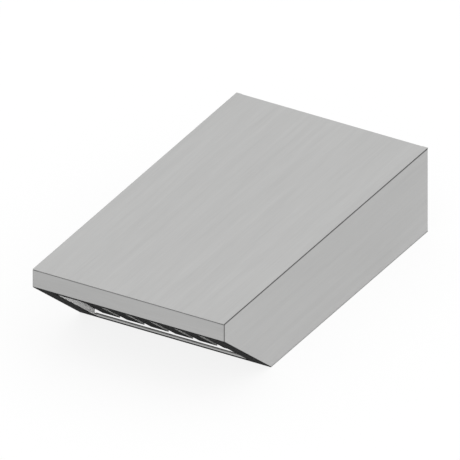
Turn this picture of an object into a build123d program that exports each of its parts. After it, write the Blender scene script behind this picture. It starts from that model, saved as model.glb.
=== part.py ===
from build123d import *
import math
import os

# Condensation hood for a compact combi oven
# Millimetres. X runs to the right seen from the front, Y to the rear, Z up.
# The origin is the middle of the underside. Lengths called from_front count from the front face.

# Casing
hood_width = 520
hood_depth = 960
hood_height = 228
fascia_height = 49
slope_depth = 221.5

# Sheet metal
cover_sheet = 1.5
panel_sheet = 1.2
base_sheet = 1.5
fold_inner_radius = 0.3
flange_width = 14
seam_gap = 1.2
seam_inset = 1.0
sheet_gap = 0.3

# Top cover
cover_rear_drop = 18
stiffener_top_width = 24
stiffener_brim = 13
stiffener_depth = 12
stiffener_end_gap = 24
front_stiffener_from_incline = 48.5

# Intake in the incline
intake_side_border = 52
intake_top_border = 17
intake_lower_border = 18.6
intake_corner_radius = 2
cheek_depth = 38
cheek_foot = 14
cheek_lip_distance = 4.5
lip_rise = 7.8
lip_overhang = 8
lip_trim_wall = 0.9
lip_trim_height = 2.8
gutter_width = 9
gutter_rear_rise = 7.5

# Baffle filter
slat_count = 6
slat_gap = 16.4
slat_end_gap = 18.2
slat_recess = 10.6
slat_lip_distance = 2.5
filter_sheet = 1.0
filter_inner_bend = 0.4
baffle_flange = 10
baffle_passage = 7
baffle_overlap = 12
baffle_end_reach = 5.5
slat_top_distance = 17
baffle_top_distance = 21
rail_side_gap = 3
rail_outer_reach = 2.5
comb_sheet = 2
comb_gap_cover = 4.5
lower_comb_from_top = 215
upper_comb_from_top = 92
pull_plate_width = 140
pull_plate_length = 32
pull_plate_sheet = 1.5
pull_plate_reach = 14
pull_slot_width = 80
pull_slot_height = 10

# Pins that carry the filter, and the magnets that hold it shut
stud_radius = 3
stud_clearance = 0.1
stud_from_top = 235
stud_depth = 22
stud_length = 10
stud_collar_radius = 5
stud_collar_length = 1.4
stud_tip = 0.6
magnet_length = 28
magnet_width = 22
magnet_thickness = 10
magnet_gap = 0.3
magnet_from_top = 46
bracket_sheet = 1.5
bracket_foot_start = 3

# Base panel
bay_front_from_front = 232
bay_rear_from_front = 330
bay_side_border = 20
bay_corner_radius = 8
bay_flange_height = 22
base_front_flange = 7

# Rear panel
rear_recess = 25
rear_flange = 12
rear_ledge = 12
louvre_columns = 3
louvre_rows = 6
louvre_length = 92
louvre_column_pitch = 108
louvre_row_pitch = 17
louvre_height = 7
louvre_sheet = 1.0
louvre_field_from_left = 44
louvre_field_from_top = 67.3

# Condenser
coil_window_side = 44
coil_window_low = 30
coil_window_high = 24
tank_width = 44
tank_corner = 3
tank_wall = 1.5
tank_low = 22
tank_high = 16
tank_side_gap = 2.5
tube_count = 6
tube_first_height = 46
tube_last_from_top = 44.3
tube_tank_margin = 2
tube_thickness = 6
tube_wall = 1.2
fin_pitch = 11
fin_sheet = 0.8
fin_tube_gap = 0.1
tube_fit = 0.1
tube_reach = 2
fin_set_back = 1
spout_radius = 6
spout_length = 22
spout_tray_gap = 0.5

# Condensate tray and drain
tray_side_gap = 6
tray_front_gap = 4
tray_from_rear = 200
tray_above_tank_foot = 2
tray_fall = 4
tray_sheet = 1.0
tray_corner = 6
drain_radius = 8
drain_bore_radius = 6.6
drain_from_right = 110
drain_end_gap = 3
drain_tip = 0.8
spigot_radius = 7
spigot_bore_radius = 5.8
drain_collar_radius = 11
drain_collar_sheet = 2

# Oven vent and steam pipe
vent_from_left = 70
vent_from_rear = 120
vent_bore_radius = 22
vent_wall = 3
vent_depth = 18
vent_flange_radius = 36
vent_flange_sheet = 2
vent_socket_depth = 8
pipe_radius = 18
pipe_wall = 1.2
pipe_socket_gap = 1
pipe_deck_gap = 8
pipe_straight = 100
pipe_jog_length = 100
pipe_elbow_radius = 25
pipe_jog_radius = 60
pipe_fit = 0.1

# Fan
partition_behind_coil = 77.5
fan_behind_partition = 185
deck_hole_radius = 86
nozzle_radius = 72
nozzle_flange_radius = 108
nozzle_rise = 19
nozzle_bell_radius = 13
fan_running_gap = 1.8
impeller_radius = 112.5
shroud_overlap = 7
shroud_neck = 12
shroud_slope_rise = 8
shroud_bend = 11
impeller_sheet = 1.5
impeller_height = 70
blade_count = 7
blade_inner_radius = 62
blade_angle = 35
hub_collar_wall = 6
hub_collar_height = 9
rotor_radius = 46
rotor_wall = 3
rotor_bottom = 4
rotor_below_hub = 32
rotor_above_hub = 19
air_gap = 0.5
shaft_radius = 4
shaft_fit = 0.04
bearing_radius = 11
bearing_width = 7
bearing_tube_wall = 4
stator_flange_radius = 48
stator_flange_sheet = 4
stator_rotor_gap = 5
bridge_sheet = 2
bridge_half_span = 140
bridge_foot = 22
bridge_half_width = 45
bridge_window_radius = 7

# Control box
box_width = 94
box_length = 124
box_height = 74
box_side_gap = 12
box_rear_gap = 9
box_lid_skirt = 8
board_sheet = 1.6
board_lift = 8
board_edge_gap = 6
board_post_radius = 3
transformer_width = 36
transformer_length = 32
transformer_height = 30
transformer_from_edge = 14
terminal_length = 12
terminal_height = 12
terminal_from_edge = 14
terminal_end_gap = 8
capacitor_radius = 7
capacitor_height = 26
capacitor_from_edge = 64
capacitor_spacing = 23

# Rear fittings
gland_from_right = 60
gland_height = 118
gland_bore_radius = 5
gland_thread_radius = 8
gland_thread_length = 15
gland_hex_across = 22
gland_hex_length = 7
gland_dome_length = 10
gland_nut_length = 5
earth_from_right = 34
earth_height = 52
earth_radius = 3
earth_reach = 18
earth_hex_across = 10
earth_nut_length = 5
screw_radius = 2
screw_head_radius = 4
screw_head_height = 2.2
screw_length = 8
screw_from_edge = 7
screw_lowest = 32
screw_from_top = 29.3
hole_clearance = 0.1

# Threaded inserts for fixing the hood to the oven
insert_from_side = 40
insert_from_rear = 70
insert_behind_bay = 100
insert_bore_radius = 3
insert_radius = 4.5
insert_flange_radius = 7
insert_flange_sheet = 1
insert_height = 12

# Places that follow from these sizes
front = -hood_depth / 2
rear = hood_depth / 2
side = hood_width / 2
slope_drop = hood_height - fascia_height
slope_length = math.hypot(slope_depth, slope_drop)
slope_angle = math.atan2(slope_drop, slope_depth)
slope_cos = math.cos(slope_angle)
slope_sin = math.sin(slope_angle)
cover_underside = hood_height - cover_sheet
shell_top = cover_underside - seam_gap
web_inside = side - panel_sheet
bend_radius = panel_sheet + fold_inner_radius
flange_edge = side - flange_width
between_flanges = flange_edge - sheet_gap
rear_face_from_front = hood_depth - rear_recess
opening_half = side - intake_side_border
opening_low = slope_length - intake_lower_border
lip_from_front = opening_low * slope_cos
slat_end_from_front = lip_from_front - slat_lip_distance
filter_bend = filter_sheet + filter_inner_bend
comb_slot_clearance = filter_inner_bend
slat_width = (2 * (opening_half - slat_end_gap) - (slat_count - 1) * slat_gap) / slat_count
slat_pitch = slat_width + slat_gap
slat_edge = slat_width / 2
baffle_flange_tip = slat_recess + filter_sheet + baffle_passage
baffle_web_inner = slat_recess + baffle_flange + baffle_passage
baffle_back = baffle_web_inner + filter_sheet
baffle_width = slat_gap + 2 * baffle_overlap
outer_slat_x = (slat_count - 1) / 2 * slat_pitch
rail_outer_x = opening_half - rail_side_gap
rail_inner_x = outer_slat_x + slat_edge - baffle_overlap
coil_plate_from_front = bay_rear_from_front + base_sheet
coil_front_from_front = coil_plate_from_front + panel_sheet + sheet_gap
tank_outer_x = web_inside - tank_side_gap
tank_inner_x = tank_outer_x - tank_width
tank_middle_x = tank_outer_x - tank_width / 2
tank_middle_from_front = coil_front_from_front + tank_width / 2
tank_rear_from_front = coil_front_from_front + tank_width
tube_pitch = (shell_top - tube_last_from_top - tube_first_height) / (tube_count - 1)
tube_depth = tank_width - 2 * tube_tank_margin
fin_depth = tube_depth - 2 * fin_set_back
tray_height = tank_low + tray_above_tank_foot
spout_axis_height = tray_height + spout_tray_gap + spout_radius
partition_from_front = tank_rear_from_front + partition_behind_coil
fan_from_front = partition_from_front + fan_behind_partition
tray_rear_from_front = hood_depth - tray_from_rear
tray_half_width = tank_inner_x - tray_side_gap
drain_x = side - drain_from_right
drain_height = base_sheet + bend_radius + drain_collar_radius
pipe_height = vent_depth + vent_socket_depth + pipe_socket_gap + pipe_elbow_radius
deck_height = pipe_height + pipe_radius + pipe_deck_gap
vent_x = vent_from_left - side
vent_from_front = hood_depth - vent_from_rear
louvre_field_z = shell_top - louvre_field_from_top
screw_highest = shell_top - screw_from_top
screw_heights = (screw_lowest, (screw_lowest + screw_highest) / 2, screw_highest)
gland_x = side - gland_from_right
earth_x = side - earth_from_right
insert_x = side - insert_from_side
nozzle_top = deck_height + nozzle_rise
shroud_inlet_radius = nozzle_radius + panel_sheet + fan_running_gap
shroud_low = nozzle_top - shroud_overlap
hub_height = shroud_low + impeller_height
rotor_low = hub_height - rotor_below_hub
rotor_high = hub_height + rotor_above_hub
bridge_underside = rotor_high + stator_rotor_gap + stator_flange_sheet

# Planes: a section seen from the side, and the incline with Y down the slope and Z inwards
section = Plane(origin=(0, front, 0), x_dir=(0, 1, 0), z_dir=(1, 0, 0))
incline = Plane(origin=(0, front, slope_drop), x_dir=(1, 0, 0), z_dir=(0, slope_sin, slope_cos))


def slope_height(from_front, depth=0.0):
    """Height of the incline, or of a layer at a depth behind it, at a distance from the front."""
    return slope_drop * (1 - from_front / slope_depth) + depth / slope_cos


def slope_from_front(height, depth=0.0):
    """Distance from the front at which a layer behind the incline has this height."""
    return slope_depth * (1 - (height - depth / slope_cos) / slope_drop)


def bent_profile(points, thickness, bend=bend_radius, thick_side=Side.LEFT):
    """Section of a folded sheet whose one face follows the points."""
    line = FilletPolyline(*points, radius=bend)
    return make_face(offset(line, amount=thickness, side=thick_side).edges())


def across(profile, half_length):
    """Section drawn from the side, run across the hood symmetrically."""
    return extrude(section * profile, half_length, both=True)


def block(x_limits, from_front_limits, z_limits):
    """Flat plate between limits, with its Y given from the front face."""
    size_x = x_limits[1] - x_limits[0]
    size_y = from_front_limits[1] - from_front_limits[0]
    size_z = z_limits[1] - z_limits[0]
    corner = (x_limits[0], front + from_front_limits[0], z_limits[0])
    return Pos(*corner) * Box(size_x, size_y, size_z, align=(Align.MIN, Align.MIN, Align.MIN))


def both_sides(make):
    """The same shape made at the left and at the right of the hood."""
    right = make()
    return mirror(right, about=Plane.YZ) + right


def behind(from_front):
    """Everything further back than a distance from the front, as a cutting block."""
    return block((-side, side), (from_front, from_front + hood_depth), (-hood_height, 2 * hood_height))


def rod(radius, length):
    """Cylinder that starts at height 0."""
    return Cylinder(radius, length, align=(Align.CENTER, Align.CENTER, Align.MIN))


def tidy(shape):
    """One plain solid, or a compound of plain solids."""
    solids = shape.solids()
    if len(solids) == 1:
        return solids[0]
    return Compound(children=list(solids))


# Casing

def side_panel():
    """Right panel: the hood's outline as a pan, folded inwards on every edge."""
    pan_front = panel_sheet + seam_gap
    corners = [
        (pan_front, shell_top),
        (pan_front, slope_height(pan_front, panel_sheet)),
        (slope_from_front(base_sheet, panel_sheet), base_sheet),
        (hood_depth, base_sheet),
        (hood_depth, shell_top),
    ]
    outline = make_face(Polyline(*corners, close=True))
    body = extrude(Pos(flange_edge, 0, 0) * (section * outline), flange_width)
    outer_face = body.faces().sort_by(Axis.X)[-1]
    body = fillet(outer_face.edges(), bend_radius)
    pan = offset(body, amount=-panel_sheet, openings=body.faces().sort_by(Axis.X)[0])
    ledge = block(
        (web_inside - rear_ledge, web_inside + panel_sheet / 2),
        (rear_face_from_front - 2 * panel_sheet, rear_face_from_front - panel_sheet),
        (base_sheet + panel_sheet / 2, shell_top - panel_sheet / 2),
    )
    return tidy(pan + ledge - rear_screw_holes())


def top_cover():
    sheet = across(
        bent_profile(
            [(0, hood_height), (hood_depth, hood_height), (hood_depth, hood_height - cover_rear_drop)],
            cover_sheet,
            thick_side=Side.RIGHT,
        ),
        between_flanges,
    )

    def edge_strip():
        return block((between_flanges, side), (0, hood_depth), (cover_underside, hood_height))

    return tidy(sheet + both_sides(edge_strip))


def top_gasket():
    """Seal between the cover and the flanges under it, set in a little from the outer faces."""
    strip = flange_width - 2 * seam_inset
    outer_x = side - seam_inset
    rear_outer = rear_face_from_front - panel_sheet + rear_flange
    ring = block((-outer_x, outer_x), (seam_inset, hood_depth - seam_inset), (shell_top, cover_underside))
    front_window = block(
        (-outer_x + strip, outer_x - strip),
        (seam_inset + strip, rear_outer - strip + seam_inset),
        (shell_top, cover_underside),
    )
    rear_window = block(
        (-outer_x + strip, outer_x - strip),
        (rear_outer, hood_depth),
        (shell_top, cover_underside),
    )
    return tidy(ring - front_window - rear_window)


def cover_stiffener(from_front):
    """Hat section under the cover."""
    half = stiffener_top_width / 2
    low = cover_underside - stiffener_depth
    profile = bent_profile(
        [
            (from_front - half - stiffener_brim, cover_underside),
            (from_front - half, cover_underside),
            (from_front - half, low),
            (from_front + half, low),
            (from_front + half, cover_underside),
            (from_front + half + stiffener_brim, cover_underside),
        ],
        panel_sheet,
        thick_side=Side.RIGHT,
    )
    return tidy(across(profile, flange_edge - stiffener_end_gap))


def front_fascia():
    low = slope_height(0, panel_sheet)
    lower_end = (flange_width * slope_cos, low - flange_width * slope_sin)
    channel = across(
        bent_profile([(flange_width, shell_top), (0, shell_top), (0, low), lower_end], panel_sheet),
        between_flanges,
    )

    def end_tab():
        return block((between_flanges, side), (0, panel_sheet), (low, shell_top))

    return tidy(channel + both_sides(end_tab))


def fascia_seals():
    def strip():
        return block(
            (flange_edge + seam_inset, side - seam_inset),
            (panel_sheet, panel_sheet + seam_gap),
            (slope_height(0, panel_sheet) + seam_inset, shell_top - seam_inset),
        )

    return tidy(both_sides(strip))


def intake_frame():
    sheet = Pos(0, slope_length / 2) * Rectangle(hood_width, slope_length)
    opening_length = opening_low - intake_top_border
    opening = Pos(0, intake_top_border + opening_length / 2) * RectangleRounded(
        2 * opening_half, opening_length, intake_corner_radius
    )
    return tidy(incline * extrude(sheet - opening, panel_sheet))


def along_slope(profile, start, length):
    """Section drawn across the slope, run down it from a distance below its top edge."""
    return incline * (Pos(0, start, 0) * extrude(Plane.XZ * profile, -length))


def intake_cheek():
    """Right side wall of the intake, with a foot behind the frame and a low tongue up to the lip."""
    points = [
        (opening_half + cheek_foot, panel_sheet),
        (opening_half, panel_sheet),
        (opening_half, cheek_depth),
    ]
    profile = bent_profile(points, panel_sheet, thick_side=Side.RIGHT)
    wall = along_slope(profile, intake_top_border, slope_length)
    lip_top = slope_height(lip_from_front) + lip_rise
    over_tongue = block(
        (-side, side),
        (lip_from_front - cheek_lip_distance, hood_depth),
        (lip_top, hood_height),
    )
    return tidy(wall - behind(lip_from_front - sheet_gap) - over_tongue)


def drip_channel():
    """Gutter on the frame's lower border. Its front wall is the lip seen in the intake."""
    gutter_rear = lip_from_front + gutter_width
    half = opening_half + lip_overhang
    lip_top = slope_height(lip_from_front) + lip_rise
    rear_foot = slope_height(gutter_rear, panel_sheet)
    points = [
        (lip_from_front, lip_top),
        (lip_from_front, slope_height(lip_from_front, panel_sheet)),
        (gutter_rear, rear_foot),
        (gutter_rear, rear_foot + gutter_rear_rise),
    ]
    gutter = across(bent_profile(points, panel_sheet), half)
    end_face = make_face(
        Polyline(points[0], points[1], points[2], points[3], close=True)
    )
    end_plate = extrude(Pos(half - panel_sheet, 0, 0) * (section * end_face), panel_sheet)
    inside = across(offset(end_face, -panel_sheet / 2), half + 1)
    end_plate = end_plate & inside
    return tidy(gutter + end_plate + mirror(end_plate, about=Plane.YZ))


def lip_trim():
    """Rubber edge strip on the lip."""
    top = slope_height(lip_from_front) + lip_rise
    low = top + lip_trim_wall - lip_trim_height
    outline = Polyline(
        (lip_from_front - lip_trim_wall, low),
        (lip_from_front - lip_trim_wall, top + lip_trim_wall),
        (lip_from_front + panel_sheet + lip_trim_wall, top + lip_trim_wall),
        (lip_from_front + panel_sheet + lip_trim_wall, low),
        (lip_from_front + panel_sheet, low),
        (lip_from_front + panel_sheet, top),
        (lip_from_front, top),
        (lip_from_front, low),
        close=True,
    )
    return tidy(across(make_face(outline), opening_half - sheet_gap))


def base_panel():
    fold_from_front = slope_from_front(0, panel_sheet)
    flange_end = (
        fold_from_front - base_front_flange * slope_cos,
        base_front_flange * slope_sin,
    )
    sheet = across(
        bent_profile([flange_end, (fold_from_front, 0), (hood_depth, 0)], base_sheet, base_sheet),
        between_flanges,
    )

    def edge_strip():
        return block((between_flanges, side), (fold_from_front, hood_depth), (0, base_sheet))

    bay_half = side - bay_side_border
    bay_length = bay_rear_from_front - bay_front_from_front
    bay = Pos(0, front + bay_front_from_front + bay_length / 2, 0) * extrude(
        RectangleRounded(2 * bay_half, bay_length, bay_corner_radius), 4 * base_sheet, both=True
    )
    bay_flange = across(
        bent_profile(
            [
                (bay_rear_from_front, bay_flange_height),
                (bay_rear_from_front, 0),
                (bay_rear_from_front + flange_width, 0),
            ],
            base_sheet,
            base_sheet,
        ),
        bay_half - bay_corner_radius,
    )
    vent_hole = Pos(vent_x, front + vent_from_front, 0) * Cylinder(
        vent_bore_radius + vent_wall + hole_clearance, 4 * base_sheet
    )
    insert_holes = insert_places() * Cylinder(insert_radius + hole_clearance, 4 * base_sheet)
    plate = sheet + both_sides(edge_strip) - bay - vent_hole
    for hole in insert_holes:
        plate -= hole
    return tidy(plate + bay_flange)


def upright_plate(from_front, low, high, thickness):
    """Upright wall across the casing, narrowed at its top and bottom to pass the side flanges."""
    middle = block((-between_flanges, between_flanges), (from_front, from_front + thickness), (low, high))
    wing_low = base_sheet + panel_sheet + sheet_gap
    wing_high = shell_top - panel_sheet - sheet_gap
    reach = web_inside - sheet_gap
    wings = block((-reach, reach), (from_front, from_front + thickness), (max(low, wing_low), wing_high))
    return middle + wings


def louvre():
    """Pressed louvre: a quarter-round hood, open downwards, over its slot."""
    solid = extrude(
        Plane.YZ * make_face(
            [
                Line((0, 0), (louvre_height, 0)),
                ThreePointArc(
                    (louvre_height, 0),
                    (louvre_height * math.cos(math.pi / 4), louvre_height * math.sin(math.pi / 4)),
                    (0, louvre_height),
                ),
                Line((0, louvre_height), (0, 0)),
            ]
        ),
        louvre_length / 2,
        both=True,
    )
    lower = solid.faces().sort_by(Axis.Z)[0]
    rear_face = solid.faces().sort_by(Axis.Y)[0]
    return offset(solid, amount=-louvre_sheet, openings=[lower, rear_face])


def louvre_places():
    x_first = louvre_field_from_left + louvre_length / 2 - side
    z_first = louvre_field_z - (louvre_rows - 1) / 2 * louvre_row_pitch
    places = []
    for column in range(louvre_columns):
        for row in range(louvre_rows):
            x = x_first + column * louvre_column_pitch
            z = z_first + row * louvre_row_pitch
            places.append(Pos(x, front + rear_face_from_front, z))
    return places


def rear_screw_places():
    x = web_inside - screw_from_edge
    y = front + rear_face_from_front
    return [Pos(sign * x, y, z) for sign in (-1, 1) for z in screw_heights]


def rear_screw_holes():
    hole = Rot(90, 0, 0) * Cylinder(screw_radius + hole_clearance, 6 * panel_sheet)
    return Compound(children=[place * hole for place in rear_screw_places()])


def rear_panel():
    inner = rear_face_from_front - panel_sheet
    channel = across(
        bent_profile(
            [(inner + rear_flange, shell_top), (inner, shell_top), (inner, base_sheet),
             (inner + rear_flange, base_sheet)],
            panel_sheet,
        ),
        between_flanges,
    )
    wing_low = base_sheet + panel_sheet + sheet_gap
    wing_high = shell_top - panel_sheet - sheet_gap

    def wing():
        return block(
            (between_flanges, web_inside - sheet_gap), (inner, rear_face_from_front), (wing_low, wing_high)
        )

    panel = channel + both_sides(wing)
    slot_height = louvre_height - louvre_sheet
    slot_place = Pos(0, 0, slot_height / 2)
    slot = slot_place * Box(louvre_length - 2 * louvre_sheet, 6 * panel_sheet, slot_height)
    hood = louvre()
    for place in louvre_places():
        panel -= place * slot
    for place in louvre_places():
        panel += place * hood
    return tidy(panel - rear_fitting_holes() - rear_screw_holes())


def rear_fitting_holes():
    """Holes in the rear panel for the gland, the earth stud and the drain pipe."""
    fittings = [
        (gland_x, gland_height, gland_thread_radius),
        (earth_x, earth_height, earth_radius),
        (drain_x, drain_height, drain_radius),
    ]
    y = front + rear_face_from_front
    holes = []
    for x, z, radius in fittings:
        holes.append(Pos(x, y, z) * Rot(90, 0, 0) * Cylinder(radius + hole_clearance, 6 * panel_sheet))
    return Compound(children=holes)


# Baffle filter

def channel_profile(width, flange, opens_inwards):
    """Section of a folded channel, with its web at depth 0."""
    tip = flange if opens_inwards else -flange
    points = [(-width / 2, tip), (-width / 2, 0), (width / 2, 0), (width / 2, tip)]
    thick_side = Side.LEFT if opens_inwards else Side.RIGHT
    return bent_profile(points, filter_sheet, filter_bend, thick_side)


def filter_slat(index):
    x = (index - (slat_count - 1) / 2) * slat_pitch
    profile = Pos(x, slat_recess) * channel_profile(slat_width, baffle_flange, True)
    start = intake_top_border + slat_top_distance
    slat = along_slope(profile, start, slope_length)
    return tidy(slat - behind(slat_end_from_front))


def filter_baffle(index):
    x = (index - (slat_count - 2) / 2) * slat_pitch
    profile = Pos(x, baffle_back) * channel_profile(baffle_width, baffle_flange, False)
    start = intake_top_border + baffle_top_distance
    baffle = along_slope(profile, start, slope_length)
    return tidy(baffle - behind(slat_end_from_front + baffle_end_reach))


def filter_rail():
    """Right rail: a channel at the filter's edge, with an open hook for its stud."""
    points = [
        (rail_inner_x, baffle_flange_tip),
        (rail_inner_x, baffle_back),
        (rail_outer_x, baffle_back),
        (rail_outer_x, baffle_flange_tip - rail_outer_reach),
    ]
    profile = bent_profile(points, filter_sheet, filter_bend, Side.RIGHT)
    rail = along_slope(profile, intake_top_border + baffle_top_distance, slope_length)
    rail -= behind(slat_end_from_front + baffle_end_reach)
    hook_radius = stud_radius + stud_clearance
    hook_length = 4 * stud_depth
    centre = stud_centre()
    hook = Rot(0, 90, 0) * Cylinder(hook_radius, 4 * filter_sheet)
    throat_place = Pos(0, 0, -hook_length / 2)
    throat = throat_place * Box(4 * filter_sheet, 2 * hook_radius, hook_length)
    rail -= Pos(rail_outer_x, centre.Y, centre.Z) * (hook + throat)
    return tidy(rail)


def stud_centre():
    return incline.from_local_coords(Vector(0, stud_from_top, stud_depth))


def filter_comb(from_top):
    """Spacer across the filter: it fills the channels and bridges the gaps between them."""
    low = slat_recess + filter_sheet
    gap_low = low + comb_gap_cover
    half = rail_outer_x - filter_sheet - comb_slot_clearance
    plate = Pos(0, (gap_low + baffle_web_inner) / 2) * Rectangle(2 * half, baffle_web_inner - gap_low)
    slot = filter_sheet + 2 * comb_slot_clearance
    tongue_width = slat_width - 2 * slot
    for index in range(slat_count):
        x = (index - (slat_count - 1) / 2) * slat_pitch
        plate += Pos(x, (low + gap_low) / 2) * Rectangle(tongue_width, gap_low - low)
        for edge in (-1, 1):
            flange_x = x + edge * (slat_edge - filter_sheet / 2)
            flange_end = slat_recess + baffle_flange + comb_slot_clearance
            plate -= Pos(flange_x, flange_end / 2) * Rectangle(slot, flange_end)
    baffle_edges = []
    for index in range(slat_count - 1):
        x = (index - (slat_count - 2) / 2) * slat_pitch
        baffle_edges += [x - baffle_width / 2 + filter_sheet / 2, x + baffle_width / 2 - filter_sheet / 2]
    baffle_edges += [-rail_inner_x - filter_sheet / 2, rail_inner_x + filter_sheet / 2]
    flange_low = baffle_flange_tip - comb_slot_clearance
    for x in baffle_edges:
        plate -= Pos(x, (flange_low + baffle_back) / 2) * Rectangle(slot, baffle_back - flange_low)
    return tidy(along_slope(plate, from_top, comb_sheet))


def filter_pull_plate():
    """Slotted plate on the top ends of the middle slats, for two fingers."""
    start = intake_top_border + slat_top_distance - pull_plate_reach
    middle = start + pull_plate_length / 2
    plate = Pos(0, middle) * RectangleRounded(pull_plate_width, pull_plate_length, 4)
    slot_middle = start + (pull_plate_reach + comb_sheet) / 2
    plate -= Pos(0, slot_middle) * SlotOverall(pull_slot_width, pull_slot_height)
    return tidy(incline * (Pos(0, 0, slat_recess - pull_plate_sheet) * extrude(plate, pull_plate_sheet)))


def filter_studs():
    centre = stud_centre()

    def stud():
        shank = rod(stud_radius, stud_length)
        collar = rod(stud_collar_radius, stud_collar_length)
        shank = chamfer(shank.edges().sort_by(Axis.Z)[-1], stud_tip)
        return Pos(opening_half, centre.Y, centre.Z) * Rot(0, -90, 0) * (shank + collar)

    return tidy(both_sides(stud))


def catch_x():
    """The magnets sit over the outermost baffles."""
    return (slat_count - 2) / 2 * slat_pitch


def catch_magnet():
    low = baffle_back + magnet_gap
    body_place = Pos(0, magnet_length / 2, magnet_thickness / 2)
    body = body_place * Box(magnet_width, magnet_length, magnet_thickness)
    body = fillet(body.edges().filter_by(Axis.Z), 2)
    return tidy(incline * (Pos(catch_x(), magnet_from_top, low) * body))


def catch_bracket():
    """Strap from the fascia's lower flange over the back of the filter, carrying a magnet."""
    foot_depth = 2 * panel_sheet
    arm_depth = baffle_back + magnet_gap + magnet_thickness
    profile = bent_profile(
        [
            (flange_width - 1, foot_depth),
            (bracket_foot_start, foot_depth),
            (bracket_foot_start, arm_depth + bracket_sheet),
            (magnet_from_top + magnet_length + 2, arm_depth + bracket_sheet),
        ],
        bracket_sheet,
        thick_side=Side.RIGHT,
    )
    strap = extrude(Plane.YZ * profile, magnet_width / 2, both=True)
    return tidy(incline * (Pos(catch_x(), 0, 0) * strap))


# Condenser

def coil_front_plate():
    plate = upright_plate(coil_plate_from_front, base_sheet, cover_underside - sheet_gap, panel_sheet)
    window = block(
        (-side + coil_window_side, side - coil_window_side),
        (coil_plate_from_front - panel_sheet, coil_plate_from_front + 2 * panel_sheet),
        (coil_window_low, shell_top - coil_window_high),
    )
    return tidy(plate - window)


def steam_tank(with_spout):
    """Upright tank at the right end of the tubes, with the condensate spout or the steam inlet."""
    low = tank_low
    high = shell_top - tank_high
    body = block((tank_inner_x, tank_outer_x), (coil_front_from_front, tank_rear_from_front), (low, high))
    body = fillet(body.edges(), tank_corner)
    tank = body - offset(body, -tank_wall)
    middle = front + tank_middle_from_front
    wall = Pos(tank_inner_x, 0, 0) * tube_slots(2 * tank_wall, tube_fit)
    tank -= wall
    if with_spout:
        spout = rod(spout_radius, spout_length + tank_wall)
        bore = rod(spout_radius - 1, spout_length + 2 * tank_wall)
        mouth = Pos(tank_inner_x - spout_length, middle, spout_axis_height) * Rot(0, 90, 0)
        tank = tank + mouth * spout - mouth * bore
    else:
        inlet = Rot(90, 0, 0) * Cylinder(pipe_radius + pipe_fit, 4 * tank_wall)
        tank -= Pos(tank_middle_x, front + tank_rear_from_front, pipe_height) * inlet
    return tidy(tank)


def tube_heights():
    return [tube_first_height + index * tube_pitch for index in range(tube_count)]


def tube_slots(half_length, growth):
    """Flat-tube outlines, grown by a clearance, run across symmetrically."""
    outline = SlotOverall(tube_depth + 2 * growth, tube_thickness + 2 * growth)
    slots = []
    for height in tube_heights():
        slots.append(across(Pos(tank_middle_from_front, height) * outline, half_length))
    return Compound(children=slots)


def condenser_tubes():
    """Flat tubes from tank to tank."""
    outer = SlotOverall(tube_depth, tube_thickness)
    inner = SlotOverall(tube_depth - 2 * tube_wall, tube_thickness - 2 * tube_wall)
    half_length = tank_inner_x + tank_wall + tube_reach
    tubes = []
    for height in tube_heights():
        tubes.append(across(Pos(tank_middle_from_front, height) * (outer - inner), half_length))
    return tidy(Compound(children=tubes))


def condenser_fins():
    """Folded strips between the tubes."""
    middle = front + tank_middle_from_front
    run = tank_inner_x - fin_pitch / 2
    fold_count = int(2 * run / fin_pitch)
    first = -fold_count * fin_pitch / 2
    low = tube_thickness / 2 + fin_tube_gap
    high = tube_pitch - tube_thickness / 2 - fin_tube_gap - fin_sheet
    lower_line = []
    for fold in range(2 * fold_count + 1):
        level = low if fold % 2 == 0 else high
        lower_line.append((first + fold * fin_pitch / 2, level))
    upper_line = [(x, z + fin_sheet) for x, z in reversed(lower_line)]
    strip = make_face(Polyline(*lower_line, *upper_line, close=True))
    fins = []
    for height in tube_heights()[:-1]:
        fins.append(Pos(0, middle, height) * extrude(Plane.XZ * strip, fin_depth / 2, both=True))
    return tidy(Compound(children=fins))


def condensate_tray():
    """Tray under the coil and the fan, falling to the rear."""
    front_edge = coil_front_from_front + tray_front_gap
    floor = base_sheet + sheet_gap
    outline = Polyline(
        (front_edge, tray_height),
        (front_edge, floor + tray_fall),
        (tray_rear_from_front, floor),
        (tray_rear_from_front, tray_height),
        close=True,
    )
    body = across(make_face(outline), tray_half_width)
    upright = body.edges().filter_by(Axis.Z)
    body = fillet(upright, tray_corner)
    tray = offset(body, amount=-tray_sheet, openings=body.faces().sort_by(Axis.Z)[-1])
    outlet = Pos(drain_x, front + tray_rear_from_front, drain_height) * Rot(90, 0, 0) * Cylinder(
        drain_bore_radius, 6 * tray_sheet
    )
    return tidy(tray - outlet)


def drain_pipe():
    """Pipe from the tray through the rear panel, ending in a spigot."""
    start = tray_rear_from_front
    end = hood_depth - drain_end_gap
    collar_end = rear_face_from_front + drain_collar_sheet
    outline = [
        (drain_bore_radius, start),
        (drain_radius, start),
        (drain_radius, rear_face_from_front),
        (drain_collar_radius, rear_face_from_front),
        (drain_collar_radius, collar_end),
        (spigot_radius, collar_end),
        (spigot_radius, end - drain_tip),
        (spigot_radius - drain_tip, end),
        (spigot_bore_radius, end),
        (spigot_bore_radius, rear_face_from_front),
        (drain_bore_radius, rear_face_from_front - drain_tip),
    ]
    pipe = make_face(Polyline(*outline, close=True))
    turned = revolve(Plane.XY * pipe, Axis.Y)
    return tidy(Pos(drain_x, front, drain_height) * turned)


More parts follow.
